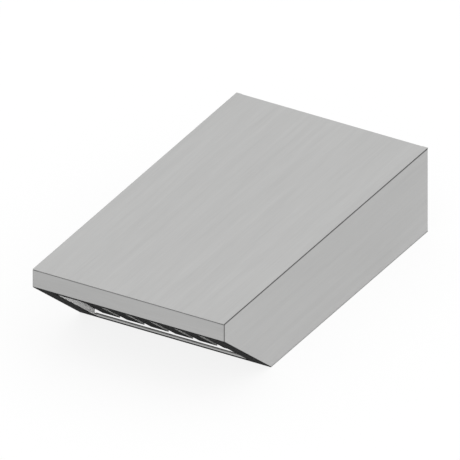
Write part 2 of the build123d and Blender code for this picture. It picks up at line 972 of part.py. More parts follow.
def vent_collar():
    """Socket in the base for the oven's vent pipe, with the steam pipe seated on top."""
    outer = vent_bore_radius + vent_wall
    top = vent_depth + vent_socket_depth
    points = [
        (vent_bore_radius, 0),
        (outer, 0),
        (outer, base_sheet),
        (vent_flange_radius, base_sheet),
        (vent_flange_radius, base_sheet + vent_flange_sheet),
        (outer, base_sheet + vent_flange_sheet),
        (outer, top),
        (pipe_radius + pipe_fit, top),
        (pipe_radius + pipe_fit, vent_depth),
        (vent_bore_radius, vent_depth),
    ]
    ring = revolve(Plane.XZ * make_face(Polyline(*points, close=True)), Axis.Z)
    return tidy(Pos(vent_x, front + vent_from_front, 0) * ring)


def steam_pipe():
    """Pipe from the vent collar forward under the fan deck to the left tank."""
    start_y = front + vent_from_front
    end_y = front + tank_rear_from_front - tank_wall
    jog_rear_y = start_y - pipe_straight
    jog_front_y = jog_rear_y - pipe_jog_length
    route = FilletPolyline(
        (vent_x, start_y, vent_depth + sheet_gap),
        (vent_x, start_y, pipe_height),
        (vent_x, jog_rear_y, pipe_height),
        (-tank_middle_x, jog_front_y, pipe_height),
        (-tank_middle_x, end_y, pipe_height),
        radius=(pipe_elbow_radius, pipe_jog_radius, pipe_jog_radius),
    )
    ring = Circle(pipe_radius) - Circle(pipe_radius - pipe_wall)
    start = Plane(origin=route @ 0, z_dir=route % 0)
    return tidy(sweep(start * ring, path=route))


# Fan

def fan_axis_place(z=0.0):
    return Pos(0, front + fan_from_front, z)


def turned(points):
    """Ring turned about the fan's axis from a section of radius and height."""
    return revolve(Plane.XZ * make_face(Polyline(*points, close=True)), Axis.Z)


def fan_partition():
    """Wall and deck that part the suction side from the pressure side."""
    inner_rear = rear_face_from_front - panel_sheet - sheet_gap
    wing_high = shell_top - panel_sheet - sheet_gap
    sheet = across(
        bent_profile(
            [
                (partition_from_front, wing_high),
                (partition_from_front, deck_height),
                (inner_rear - panel_sheet, deck_height),
            ],
            panel_sheet,
            thick_side=Side.RIGHT,
        ),
        web_inside - sheet_gap,
    )
    crest = block(
        (-between_flanges + stiffener_end_gap, between_flanges - stiffener_end_gap),
        (partition_from_front - panel_sheet, partition_from_front),
        (wing_high - panel_sheet, cover_underside - sheet_gap),
    )
    hole = fan_axis_place(deck_height) * Cylinder(deck_hole_radius, 6 * panel_sheet)
    return tidy(sheet + crest - hole)


def fan_inlet_ring():
    """Bell-mouthed nozzle on the deck."""
    profile = bent_profile(
        [
            (nozzle_flange_radius, deck_height),
            (nozzle_radius, deck_height),
            (nozzle_radius, nozzle_top),
        ],
        panel_sheet,
        nozzle_bell_radius,
        Side.RIGHT,
    )
    ring = revolve(Plane.XZ * profile, Axis.Z)
    return tidy(fan_axis_place() * ring)


def blade_angle_at(radius):
    """Turn of the blade line at a radius, for a constant angle to the rim."""
    return math.log(radius / blade_inner_radius) / math.tan(math.radians(blade_angle))


def blade_point(radius):
    turn = blade_angle_at(radius)
    return (radius * math.cos(turn), radius * math.sin(turn))


def fan_impeller():
    """Backward-curved wheel: shroud, hub disc and blades."""
    neck_top = shroud_low + shroud_neck
    rim_low = neck_top + shroud_slope_rise
    shroud = revolve(
        Plane.XZ * bent_profile(
            [
                (shroud_inlet_radius, shroud_low),
                (shroud_inlet_radius, neck_top),
                (impeller_radius, rim_low),
            ],
            impeller_sheet,
            shroud_bend,
            Side.RIGHT,
        ),
        Axis.Z,
    )
    hub_bore = rotor_radius + shaft_fit
    hub = turned(
        [
            (hub_bore, hub_height),
            (impeller_radius, hub_height),
            (impeller_radius, hub_height + impeller_sheet),
            (hub_bore + hub_collar_wall, hub_height + impeller_sheet),
            (hub_bore + hub_collar_wall, hub_height + hub_collar_height),
            (hub_bore, hub_height + hub_collar_height),
        ]
    )
    rim = impeller_radius - impeller_sheet
    middle_radius = math.sqrt(blade_inner_radius * rim)
    blade_line = ThreePointArc(
        blade_point(blade_inner_radius), blade_point(middle_radius), blade_point(rim)
    )
    blade_face = make_face(offset(blade_line, amount=impeller_sheet, side=Side.LEFT).edges())
    blade = Pos(0, 0, shroud_low) * extrude(blade_face, impeller_height + impeller_sheet / 2)
    blade_room = turned(
        [
            (shroud_inlet_radius + impeller_sheet, neck_top + impeller_sheet / 2),
            (impeller_radius, rim_low - impeller_sheet / 2),
            (impeller_radius, hub_height + impeller_sheet / 2),
            (blade_inner_radius + impeller_sheet, hub_height + impeller_sheet / 2),
        ]
    )
    blade = blade & blade_room
    wheel = shroud + hub
    for place in PolarLocations(0, blade_count):
        wheel += place * blade
    return tidy(fan_axis_place() * wheel)


def motor_rotor():
    """Cup of the outer-rotor motor, which carries the wheel."""
    inner = rotor_radius - rotor_wall
    cup = turned(
        [
            (shaft_radius, rotor_low),
            (rotor_radius, rotor_low),
            (rotor_radius, rotor_high),
            (inner, rotor_high),
            (inner, rotor_low + rotor_bottom),
            (shaft_radius, rotor_low + rotor_bottom),
        ]
    )
    return tidy(fan_axis_place() * cup)


def shaft_top():
    return bridge_underside - stator_flange_sheet - 1


def motor_shaft():
    return tidy(fan_axis_place(rotor_low) * rod(shaft_radius, shaft_top() - rotor_low))


def bearing_heights():
    low = rotor_low + 2 * rotor_bottom
    high = bridge_underside - stator_flange_sheet - 2 * bearing_width
    return low, high


def motor_bearings():
    rings = []
    for height in bearing_heights():
        ring = rod(bearing_radius, bearing_width) - rod(shaft_radius + shaft_fit, bearing_width)
        rings.append(fan_axis_place(height) * ring)
    return tidy(Compound(children=rings))


def motor_stator():
    """Mounting flange, bearing tube and core."""
    bore = bearing_radius + shaft_fit
    tube = bore + bearing_tube_wall
    core = rotor_radius - rotor_wall - air_gap
    tube_low = bearing_heights()[0]
    core_low = tube_low + bearing_width
    core_high = rotor_high - rotor_wall
    flange_low = bridge_underside - stator_flange_sheet
    body = turned(
        [
            (bore, tube_low),
            (tube, tube_low),
            (tube, core_low),
            (core, core_low),
            (core, core_high),
            (tube, core_high),
            (tube, flange_low),
            (stator_flange_radius, flange_low),
            (stator_flange_radius, bridge_underside),
            (bore, bridge_underside),
        ]
    )
    return tidy(fan_axis_place() * body)


def motor_bridge():
    """Folded bridge that hangs the motor over the nozzle."""
    foot_x = bridge_half_span + bridge_foot
    profile = bent_profile(
        [
            (-foot_x, deck_height),
            (-bridge_half_span, deck_height),
            (-bridge_half_span, bridge_underside),
            (bridge_half_span, bridge_underside),
            (bridge_half_span, deck_height),
            (foot_x, deck_height),
        ],
        bridge_sheet,
        2 * bend_radius,
    )
    bridge = fan_axis_place() * extrude(Plane.XZ * profile, bridge_half_width, both=True)
    window = fan_axis_place(bridge_underside) * Cylinder(bridge_window_radius, 4 * bridge_sheet)
    return tidy(bridge - window)


# Electrics

def box_limits():
    right = web_inside - box_side_gap
    rear_edge = rear_face_from_front - panel_sheet - box_rear_gap
    top = deck_height + box_height
    return (right - box_width, right), (rear_edge - box_length, rear_edge), (deck_height, top)


def control_box():
    x_limits, y_limits, z_limits = box_limits()
    body = block(x_limits, y_limits, z_limits)
    body = fillet(body.edges().filter_by(Axis.Z), bend_radius)
    tub = offset(body, amount=-panel_sheet, openings=body.faces().sort_by(Axis.Z)[-1])
    cable_hole = Rot(90, 0, 0) * Cylinder(gland_thread_radius + hole_clearance, 6 * panel_sheet)
    return tidy(tub - Pos(gland_x, front + y_limits[1], gland_height) * cable_hole)


def control_box_lid():
    x_limits, y_limits, z_limits = box_limits()
    grow = panel_sheet + sheet_gap
    body = block(
        (x_limits[0] - grow, x_limits[1] + grow),
        (y_limits[0] - grow, y_limits[1] + grow),
        (z_limits[1] - box_lid_skirt, z_limits[1] + panel_sheet),
    )
    body = fillet(body.edges().filter_by(Axis.Z), bend_radius + grow)
    return tidy(offset(body, amount=-panel_sheet, openings=body.faces().sort_by(Axis.Z)[0]))


def control_board():
    """Circuit board on its posts, with the parts that stand on it."""
    x_limits, y_limits, z_limits = box_limits()
    x_low = x_limits[0] + panel_sheet + board_edge_gap
    x_high = x_limits[1] - panel_sheet - board_edge_gap
    y_low = y_limits[0] + panel_sheet + board_edge_gap
    y_high = y_limits[1] - panel_sheet - board_edge_gap
    floor = z_limits[0] + panel_sheet
    board_top = floor + board_lift + board_sheet
    board = block((x_low, x_high), (y_low, y_high), (floor + board_lift, board_top))
    for x in (x_low + board_edge_gap, x_high - board_edge_gap):
        for y in (y_low + board_edge_gap, y_high - board_edge_gap):
            board += Pos(x, front + y, floor) * rod(board_post_radius, board_lift)
    middle_x = (x_low + x_high) / 2
    transformer_y = y_low + transformer_from_edge
    board += block(
        (middle_x - transformer_width / 2, middle_x + transformer_width / 2),
        (transformer_y, transformer_y + transformer_length),
        (board_top, board_top + transformer_height),
    )
    terminal_y = y_high - terminal_from_edge
    board += block(
        (x_low + terminal_end_gap, x_high - terminal_end_gap),
        (terminal_y - terminal_length, terminal_y),
        (board_top, board_top + terminal_height),
    )
    can = rod(capacitor_radius, capacitor_height)
    can_y = front + y_low + capacitor_from_edge
    for step in (-1, 0, 1):
        board += Pos(middle_x + step * capacitor_spacing, can_y, board_top) * can
    return tidy(board)


# Rear fittings

def rearward(x, height, shape):
    """A shape drawn upright, laid on the rear panel's outer face and pointing to the rear."""
    return Pos(x, front + rear_face_from_front, height) * Rot(-90, 0, 0) * shape


def hexagon(across_flats, length, low):
    prism = extrude(RegularPolygon(across_flats / 2, 6, major_radius=False), length)
    return Pos(0, 0, low) * prism


def cable_gland():
    inside = panel_sheet + gland_nut_length
    thread = Pos(0, 0, -inside - 2) * rod(gland_thread_radius, gland_thread_length)
    nut = hexagon(gland_hex_across, gland_nut_length, -inside)
    collar = hexagon(gland_hex_across, gland_hex_length, 0)
    dome_middle = gland_hex_length + gland_dome_length / 2
    dome = Pos(0, 0, dome_middle) * Cone(gland_hex_across / 2, gland_thread_radius, gland_dome_length)
    bore = Pos(0, 0, -2 * inside) * rod(gland_bore_radius, 4 * gland_thread_length)
    return tidy(rearward(gland_x, gland_height, thread + nut + collar + dome - bore))


def earth_stud():
    inside = panel_sheet + earth_nut_length
    thread = Pos(0, 0, -inside) * rod(earth_radius, inside + earth_reach)
    inner_nut = hexagon(earth_hex_across, earth_nut_length, -inside)
    washer = rod(earth_hex_across / 2 + 1, 1)
    outer_nut = hexagon(earth_hex_across, earth_nut_length, 1)
    return tidy(rearward(earth_x, earth_height, thread + inner_nut + washer + outer_nut))


def rear_screws():
    head = rod(screw_head_radius, screw_head_height)
    head = fillet(head.edges().sort_by(Axis.Z)[-1], screw_head_height / 2)
    shank = Pos(0, 0, -screw_length) * rod(screw_radius, screw_length)
    recess = Pos(0, 0, screw_head_height / 2) * Cylinder(1, screw_head_height)
    screw = Rot(-90, 0, 0) * (head + shank - recess)
    return tidy(Compound(children=[place * screw for place in rear_screw_places()]))


def insert_places():
    first = front + bay_rear_from_front + insert_behind_bay
    last = rear - insert_from_rear
    return [Pos(x, y, 0) for x in (-insert_x, insert_x) for y in (first, last)]


def base_inserts():
    profile = [
        (insert_bore_radius, 0),
        (insert_radius, 0),
        (insert_radius, base_sheet),
        (insert_flange_radius, base_sheet),
        (insert_flange_radius, base_sheet + insert_flange_sheet),
        (insert_radius, base_sheet + insert_flange_sheet),
        (insert_radius, insert_height),
        (insert_bore_radius, insert_height),
    ]
    insert = turned(profile)
    return tidy(Compound(children=[place * insert for place in insert_places()]))


def left(shape):
    """The left-hand copy of a right-hand piece."""
    return tidy(mirror(shape, about=Plane.YZ))


parts = {
    "top_cover": top_cover(),
    "top_gasket": top_gasket(),
    "right_side_panel": side_panel(),
    "left_side_panel": left(side_panel()),
    "front_fascia": front_fascia(),
    "fascia_seals": fascia_seals(),
    "intake_frame": intake_frame(),
    "right_intake_cheek": intake_cheek(),
    "left_intake_cheek": left(intake_cheek()),
    "drip_channel": drip_channel(),
    "lip_trim": lip_trim(),
    "base_panel": base_panel(),
    "rear_panel": rear_panel(),
    "front_cover_stiffener": cover_stiffener(slope_depth + front_stiffener_from_incline),
    "rear_cover_stiffener": cover_stiffener(fan_from_front),
    "right_filter_rail": filter_rail(),
    "left_filter_rail": left(filter_rail()),
    "lower_filter_comb": filter_comb(lower_comb_from_top),
    "upper_filter_comb": filter_comb(upper_comb_from_top),
    "filter_pull_plate": filter_pull_plate(),
    "filter_studs": filter_studs(),
    "right_catch_magnet": catch_magnet(),
    "left_catch_magnet": left(catch_magnet()),
    "right_catch_bracket": catch_bracket(),
    "left_catch_bracket": left(catch_bracket()),
    "coil_front_plate": coil_front_plate(),
    "right_steam_tank": steam_tank(True),
    "left_steam_tank": left(steam_tank(False)),
    "condenser_tubes": condenser_tubes(),
    "condenser_fins": condenser_fins(),
    "condensate_tray": condensate_tray(),
    "drain_pipe": drain_pipe(),
    "vent_collar": vent_collar(),
    "steam_pipe": steam_pipe(),
    "fan_partition": fan_partition(),
    "fan_inlet_ring": fan_inlet_ring(),
    "fan_impeller": fan_impeller(),
    "motor_rotor": motor_rotor(),
    "motor_shaft": motor_shaft(),
    "motor_bearings": motor_bearings(),
    "motor_stator": motor_stator(),
    "motor_bridge": motor_bridge(),
    "control_box": control_box(),
    "control_box_lid": control_box_lid(),
    "control_board": control_board(),
    "cable_gland": cable_gland(),
    "earth_stud": earth_stud(),
    "rear_screws": rear_screws(),
    "base_inserts": base_inserts(),
}
for number in range(slat_count):
    parts[f"filter_slat_{number + 1}"] = filter_slat(number)
for number in range(slat_count - 1):
    parts[f"filter_baffle_{number + 1}"] = filter_baffle(number)

os.makedirs("parts", exist_ok=True)
for name, shape in parts.items():
    export_step(shape, f"parts/{name}.step")
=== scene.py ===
import bmesh
import bpy
import math
from mathutils import Matrix, Vector


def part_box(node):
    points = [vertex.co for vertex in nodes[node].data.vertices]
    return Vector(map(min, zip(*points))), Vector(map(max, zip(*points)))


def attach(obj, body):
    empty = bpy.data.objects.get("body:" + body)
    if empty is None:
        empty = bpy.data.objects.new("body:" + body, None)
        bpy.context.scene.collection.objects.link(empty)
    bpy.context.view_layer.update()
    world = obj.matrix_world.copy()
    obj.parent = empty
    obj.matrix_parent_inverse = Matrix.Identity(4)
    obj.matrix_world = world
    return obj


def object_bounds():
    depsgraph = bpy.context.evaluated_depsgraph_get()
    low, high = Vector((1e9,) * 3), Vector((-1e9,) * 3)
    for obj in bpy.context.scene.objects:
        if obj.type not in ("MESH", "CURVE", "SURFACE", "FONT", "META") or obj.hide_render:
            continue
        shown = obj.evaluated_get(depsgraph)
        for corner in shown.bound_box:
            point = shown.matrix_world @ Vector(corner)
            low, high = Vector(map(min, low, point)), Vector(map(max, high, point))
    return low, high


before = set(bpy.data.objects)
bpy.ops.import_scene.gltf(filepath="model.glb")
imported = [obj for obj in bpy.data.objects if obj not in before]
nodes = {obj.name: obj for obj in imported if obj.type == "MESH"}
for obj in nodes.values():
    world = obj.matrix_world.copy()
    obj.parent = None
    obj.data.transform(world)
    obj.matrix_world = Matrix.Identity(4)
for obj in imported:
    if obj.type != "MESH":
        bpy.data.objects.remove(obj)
cad_low, cad_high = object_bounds()

# The photograph's view
view_azimuth = math.radians(30)
view_elevation = math.radians(30)
picture_width = 460
pixels_per_metre = 424.8
object_centre_pixel = (229.85, 249.75)
picture_centre_pixel = (229.5, 229.5)
camera_distance = 8.0
clip_start = 0.01
clip_end = 60.0

# How light each sheet of the casing is: cover, sides and fascia are one stainless given painted
# light and shade, lightest on the cover and darkest on the fascia, and the cheeks are painted
# near-white against the shade in the intake
cover_grey_painted_lit = 0.503
side_grey_painted_light = 0.48
fascia_grey_painted_shade = 0.448
crosswise_grey = 0.46
underside_grey = 0.48
cheek_grey_painted_light = 0.96
blue_share = 0.992

# Dark lines of painted shade along the casing's seams and edges, standing in for the shade in the
# joints: the depths in from the edge at which the shade starts and is full, and the share of light
# left there
cover_side_shade_line = (0.0004, 0.0001, 0.1)
cover_front_shade_line = (0.0004, 0.0001, 0.85)
side_top_shade_line = (0.0024, 0.0006, 0.4)
side_front_shade_line = (0.0046, 0.0028, 0.35)
fascia_end_shade_line = (0.0010, 0.0002, 0.15)
fascia_top_shade_line = (0.0012, 0.0004, 0.6)

# Relief and wear of every finish
grain_depth = 0.0001
rubbed_edge_width = 0.0007
chipped_edge_width = 0.0004

# Control board, measured from the corners of its box
lacquer_height = 0.0098
transformer_length = 0.048
terminal_row_length = 0.028
part_colour_change = 0.0002
lacquer_colour_change = 0.0001

# Rubber ring in the cable gland's mouth
ring_radius = 0.0064
ring_section_radius = 0.0008
ring_section_sides = 12
ring_steps = 48

# Rolled thread of the earth stud
thread_radius = 0.003
thread_pitch = 0.001
thread_turns = 10
thread_steps_per_turn = 24
thread_plain_end = 0.0008
ridge_radius = thread_pitch * 0.42
ridge_sides = 3
ridge_flattening = 0.8

# Floor, sky and lamps
floor_size = 60.0
floor_gap = 0.0005
floor_white = 0.96
floor_glow = 0.86
sky_light = 0.92
lamp_distance = 3


def direction(azimuth, elevation):
    """The way from the object towards a viewer or lamp, with azimuth 0 in front."""
    return Vector((
        math.sin(azimuth) * math.cos(elevation),
        -math.cos(azimuth) * math.cos(elevation),
        math.sin(elevation),
    ))


# Camera

def add_camera():
    back = direction(view_azimuth, view_elevation)
    turn = (-back).to_track_quat("-Z", "Y")
    right = turn @ Vector((1, 0, 0))
    up = turn @ Vector((0, 1, 0))
    centre = (cad_low + cad_high) / 2
    across = (picture_centre_pixel[0] - object_centre_pixel[0]) / pixels_per_metre
    above = (object_centre_pixel[1] - picture_centre_pixel[1]) / pixels_per_metre
    data = bpy.data.cameras.new("camera")
    data.type = "ORTHO"
    data.ortho_scale = picture_width / pixels_per_metre
    data.clip_start = clip_start
    data.clip_end = clip_end
    camera = bpy.data.objects.new("camera", data)
    bpy.context.collection.objects.link(camera)
    camera.rotation_mode = "QUATERNION"
    camera.rotation_quaternion = turn
    camera.location = centre + back * camera_distance + right * across + up * above
    bpy.context.scene.camera = camera


# Material helpers

# The mix node's sockets for colours, which share their names with those for numbers
mix_amount, mix_first, mix_second, mix_result = 0, 6, 7, 2


class Finish:
    """A material under construction."""

    def __init__(self, name):
        self.material = bpy.data.materials.new(name)
        self.material.use_nodes = True
        self.tree = self.material.node_tree
        self.shader = self.tree.nodes["Principled BSDF"]
        self.place = self.add("ShaderNodeTexCoord")

    def add(self, kind, **settings):
        node = self.tree.nodes.new(kind)
        for key, value in settings.items():
            setattr(node, key, value)
        return node

    def link(self, source, target):
        self.tree.links.new(source, target)

    def plug(self, value, socket):
        """Give a socket another node's output, a colour or a plain number."""
        if isinstance(value, bpy.types.NodeSocket):
            self.link(value, socket)
        elif isinstance(value, tuple):
            socket.default_value = (*value, 1)
        else:
            socket.default_value = value

    def set(self, **values):
        """The shader's own sockets, even or patterned."""
        for key, value in values.items():
            self.plug(value, self.shader.inputs[key.replace("_", " ")])

    def mapped(self, scale=(1, 1, 1)):
        mapping = self.add("ShaderNodeMapping")
        mapping.inputs["Scale"].default_value = scale
        self.link(self.place.outputs["Object"], mapping.inputs["Vector"])
        return mapping.outputs["Vector"]

    def lengthwise(self, along, fine, coarse):
        """Places that draw a pattern out into lines along X, Y or Z."""
        scale = [fine, fine, fine]
        scale["XYZ".index(along)] = coarse
        return self.mapped(tuple(scale))

    def noise(self, vector, scale, detail=4.0, rough=0.55):
        node = self.add("ShaderNodeTexNoise")
        node.inputs["Scale"].default_value = scale
        node.inputs["Detail"].default_value = detail
        node.inputs["Roughness"].default_value = rough
        self.link(vector, node.inputs["Vector"])
        return node.outputs["Fac"]

    def spread(self, value, low, high, start=0.3, end=0.7):
        """Map a texture's value to a range."""
        node = self.add("ShaderNodeMapRange")
        node.inputs["From Min"].default_value = start
        node.inputs["From Max"].default_value = end
        node.inputs["To Min"].default_value = low
        node.inputs["To Max"].default_value = high
        self.link(value, node.inputs["Value"])
        return node.outputs["Result"]

    def shades(self, value, dark, light, start=0.3, end=0.7):
        """Map a texture's value to colours between two."""
        node = self.add("ShaderNodeValToRGB")
        node.color_ramp.elements[0].position = start
        node.color_ramp.elements[0].color = (*dark, 1)
        node.color_ramp.elements[1].position = end
        node.color_ramp.elements[1].color = (*light, 1)
        self.link(value, node.inputs["Fac"])
        return node.outputs["Color"]

    def mix(self, amount, first, second):
        """From the first colour at 0 to the second at 1."""
        node = self.add("ShaderNodeMix", data_type="RGBA")
        self.plug(amount, node.inputs[mix_amount])
        self.plug(first, node.inputs[mix_first])
        self.plug(second, node.inputs[mix_second])
        return node.outputs[mix_result]

    def sum(self, first, second, operation="ADD"):
        node = self.add("ShaderNodeMath", operation=operation)
        self.plug(first, node.inputs[0])
        self.plug(second, node.inputs[1])
        return node.outputs[0]

    def product(self, first, second):
        return self.sum(first, second, "MULTIPLY")

    def part(self, coordinate, axis):
        """The X, Y or Z of the piece's own places or normals."""
        split = self.add("ShaderNodeSeparateXYZ")
        self.link(self.place.outputs[coordinate], split.inputs["Vector"])
        return split.outputs[axis]

    def beyond(self, axis, start, end, low=0.0, high=1.0):
        """Changes from one level to another between two places along X, Y or Z."""
        return self.spread(self.part("Object", axis), low, high, start, end)

    def facing(self, axis):
        """How far the surface faces along the piece's own X, Y or Z."""
        node = self.add("ShaderNodeMath", operation="ABSOLUTE")
        self.link(self.part("Normal", axis), node.inputs[0])
        return node.outputs[0]

    def edges(self, width):
        """1 along the piece's edges and folds, 0 away from them."""
        softened = self.add("ShaderNodeBevel", samples=4)
        softened.inputs["Radius"].default_value = width
        surface = self.add("ShaderNodeNewGeometry")
        alike = self.add("ShaderNodeVectorMath", operation="DOT_PRODUCT")
        self.link(softened.outputs["Normal"], alike.inputs[0])
        self.link(surface.outputs["True Normal"], alike.inputs[1])
        return self.spread(alike.outputs["Value"], 1.0, 0.0, start=0.75, end=0.98)

    def bump(self, height, strength):
        node = self.add("ShaderNodeBump")
        node.inputs["Strength"].default_value = strength
        node.inputs["Distance"].default_value = grain_depth
        self.link(height, node.inputs["Height"])
        self.link(node.outputs["Normal"], self.shader.inputs["Normal"])


# Finishes

def brushed_steel(name, along, colour, rough=0.4, shade_seams=(), metallic=1.0):
    """Sheet with fine grain lines along one axis and faint handling marks.

    Each seam is a dark line of painted shade: an axis, where its shade starts and is full on it,
    and the share of light left.
    """
    finish = Finish(name)
    lines = finish.noise(finish.lengthwise(along, 900, 9), 1.0, detail=3.0, rough=0.6)
    bands = finish.noise(finish.lengthwise(along, 60, 2.5), 1.0, detail=2.0)
    marks = finish.noise(finish.mapped(), 7.0, detail=5.0, rough=0.6)
    tone = finish.sum(finish.spread(lines, -0.03, 0.03), finish.spread(bands, -0.012, 0.012))
    tone = finish.sum(tone, finish.spread(marks, -0.008, 0.008))
    level = finish.sum(tone, colour)
    # Darken the colour along each seam and edge: painted shade
    for axis, start, end, shade in shade_seams:
        level = finish.product(level, finish.beyond(axis, start, end, 1.0, shade))
    tint = finish.add("ShaderNodeCombineColor")
    finish.link(level, tint.inputs["Red"])
    finish.link(level, tint.inputs["Green"])
    finish.link(finish.product(level, blue_share), tint.inputs["Blue"])
    grain = finish.spread(lines, rough - 0.05, rough + 0.05)
    worn = finish.sum(grain, finish.spread(marks, -0.04, 0.04))
    rubbed = finish.product(finish.edges(rubbed_edge_width), finish.spread(marks, -0.02, -0.16))
    finish.set(
        Base_Color=tint.outputs["Color"],
        Roughness=finish.sum(worn, rubbed),
        Metallic=metallic,
    )
    finish.bump(lines, 0.08)
    return finish.material


def mill_steel(name):
    """Unpolished stainless of the inner pieces, with rolling marks."""
    finish = Finish(name)
    lines = finish.noise(finish.mapped((40, 300, 300)), 1.0, rough=0.6)
    cloud = finish.noise(finish.mapped(), 16.0, detail=5.0, rough=0.6)
    finish.set(
        Base_Color=finish.shades(cloud, (0.42, 0.425, 0.42), (0.52, 0.52, 0.51)),
        Roughness=finish.sum(finish.spread(lines, 0.36, 0.46), finish.spread(cloud, -0.05, 0.05)),
        Metallic=1.0,
    )
    finish.bump(lines, 0.1)
    return finish.material


def galvanised_steel(name):
    """Zinc-coated sheet with its crystal pattern."""
    finish = Finish(name)
    crystals = finish.add("ShaderNodeTexVoronoi")
    crystals.inputs["Scale"].default_value = 130
    finish.link(finish.mapped(), crystals.inputs["Vector"])
    to_grey = finish.add("ShaderNodeRGBToBW")
    finish.link(crystals.outputs["Color"], to_grey.inputs["Color"])
    grey = to_grey.outputs["Val"]
    fine = finish.noise(finish.mapped(), 60.0)
    rough = finish.spread(grey, 0.34, 0.52, start=0.1, end=0.9)
    finish.set(
        Base_Color=finish.shades(
            grey, (0.33, 0.345, 0.355), (0.5, 0.515, 0.52), start=0.1, end=0.9,
        ),
        Roughness=finish.sum(rough, finish.spread(fine, -0.05, 0.05)),
        Metallic=0.95,
    )
    finish.bump(fine, 0.08)
    return finish.material


def painted_shade_black(name, lit_wall_colour=None):
    """Fine-textured black coating that stands in for the shade of the intake's downward faces:
    painted shade; on a folded slat the paler side walls are painted light.
    """
    finish = Finish(name)
    grain = finish.noise(finish.mapped(), 1500.0, detail=2.0, rough=0.5)
    dust = finish.noise(finish.mapped(), 26.0, detail=6.0, rough=0.65)
    colour = finish.shades(dust, (0.006, 0.0062, 0.0065), (0.014, 0.014, 0.0145))
    # Faces along X, the slats' side walls, are painted paler than the black faces: painted light
    if lit_wall_colour:
        ragged = finish.noise(finish.mapped((60, 20, 20)), 8.0, detail=5.0, rough=0.7)
        painted_lit_walls = finish.shades(ragged, tuple(part * 0.75 for part in lit_wall_colour), lit_wall_colour)
        sideways = finish.spread(finish.facing("X"), 0.0, 1.0, start=0.55, end=0.9)
        colour = finish.mix(sideways, colour, painted_lit_walls)
    thin = finish.spread(dust, 0.0, 0.5, start=0.45, end=0.6)
    chipped = finish.product(finish.edges(chipped_edge_width), thin)
    finish.set(
        Base_Color=finish.mix(chipped, colour, (0.09, 0.09, 0.088)),
        Roughness=finish.sum(finish.spread(grain, 0.68, 0.8), finish.spread(dust, -0.05, 0.05)),
        IOR=1.45,
        Specular_IOR_Level=0.03,
    )
    finish.bump(grain, 0.25)
    return finish.material


def rubber(name, grey=0.012):
    finish = Finish(name)
    bloom = finish.noise(finish.mapped(), 45.0, detail=5.0, rough=0.6)
    grain = finish.noise(finish.mapped(), 900.0, detail=2.0)
    dark = (grey, grey, grey)
    light = (grey * 1.8, grey * 1.8, grey * 1.75)
    finish.set(
        Base_Color=finish.shades(bloom, dark, light),
        Roughness=finish.spread(grain, 0.62, 0.8),
    )
    finish.bump(grain, 0.2)
    return finish.material


def bright_metal(name, colour, rough):
    """Turned or ground fittings."""
    finish = Finish(name)
    turned = finish.noise(finish.mapped((300, 40, 300)), 4.0, detail=3.0)
    spots = finish.noise(finish.mapped(), 120.0, detail=5.0)
    light = tuple(min(1.0, part * 1.12) for part in colour)
    finish.set(
        Base_Color=finish.shades(spots, colour, light),
        Roughness=finish.spread(turned, rough - 0.06, rough + 0.08),
        Metallic=1.0,
    )
    finish.bump(turned, 0.1)
    return finish.material


def moulded_plastic(name, colour, rough):
    finish = Finish(name)
    grain = finish.noise(finish.mapped(), 700.0, detail=3.0)
    cloud = finish.noise(finish.mapped(), 30.0)
    light = tuple(min(1.0, part * 1.3 + 0.004) for part in colour)
    finish.set(
        Base_Color=finish.shades(cloud, colour, light),
        Roughness=finish.spread(grain, rough - 0.07, rough + 0.07),
        IOR=1.5,
    )
    finish.bump(grain, 0.15)
    return finish.material


def circuit_board(name):
    """Green lacquer with tracks, and on it a transformer, two capacitors and a row of terminals."""
    finish = Finish(name)
    lowest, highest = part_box("control_board")
    lacquer_top = lowest.z + lacquer_height
    transformer_end = lowest.y + transformer_length
    terminal_start = highest.y - terminal_row_length
    tracks = finish.add("ShaderNodeTexBrick")
    tracks.inputs["Scale"].default_value = 240
    tracks.inputs["Color1"].default_value = (0.012, 0.09, 0.035, 1)
    tracks.inputs["Color2"].default_value = (0.02, 0.13, 0.05, 1)
    tracks.inputs["Mortar"].default_value = (0.03, 0.17, 0.07, 1)
    finish.link(finish.mapped(), tracks.inputs["Vector"])
    film = finish.noise(finish.mapped(), 80.0)
    film_thickness = finish.spread(film, 0.0, 0.25)
    lacquer = finish.mix(film_thickness, tracks.outputs["Color"], (0.01, 0.06, 0.03))
    transformer = finish.shades(film, (0.02, 0.02, 0.022), (0.035, 0.034, 0.032))
    capacitors = finish.shades(film, (0.01, 0.02, 0.06), (0.016, 0.03, 0.085))
    terminals = finish.shades(film, (0.02, 0.16, 0.06), (0.03, 0.2, 0.08))
    past = finish.beyond("Y", transformer_end, transformer_end + part_colour_change)
    parts = finish.mix(past, transformer, capacitors)
    past = finish.beyond("Y", terminal_start, terminal_start + part_colour_change)
    parts = finish.mix(past, parts, terminals)
    standing = finish.beyond("Z", lacquer_top, lacquer_top + lacquer_colour_change)
    finish.set(
        Base_Color=finish.mix(standing, lacquer, parts),
        Roughness=finish.spread(film, 0.25, 0.45),
    )
    finish.bump(film, 0.1)
    return finish.material


# Dressing the CAD pieces

def dress(names, material):
    for name in names:
        mesh = nodes[name].data
        mesh.materials.clear()
        mesh.materials.append(material)


def seam_shade(axis, edge, inward, line):
    """A painted shade line of the list above, placed at a sheet's edge; inward is 1 or -1 along the
    axis.
    """
    start, full, shade = line
    return axis, edge + inward * start, edge + inward * full, shade


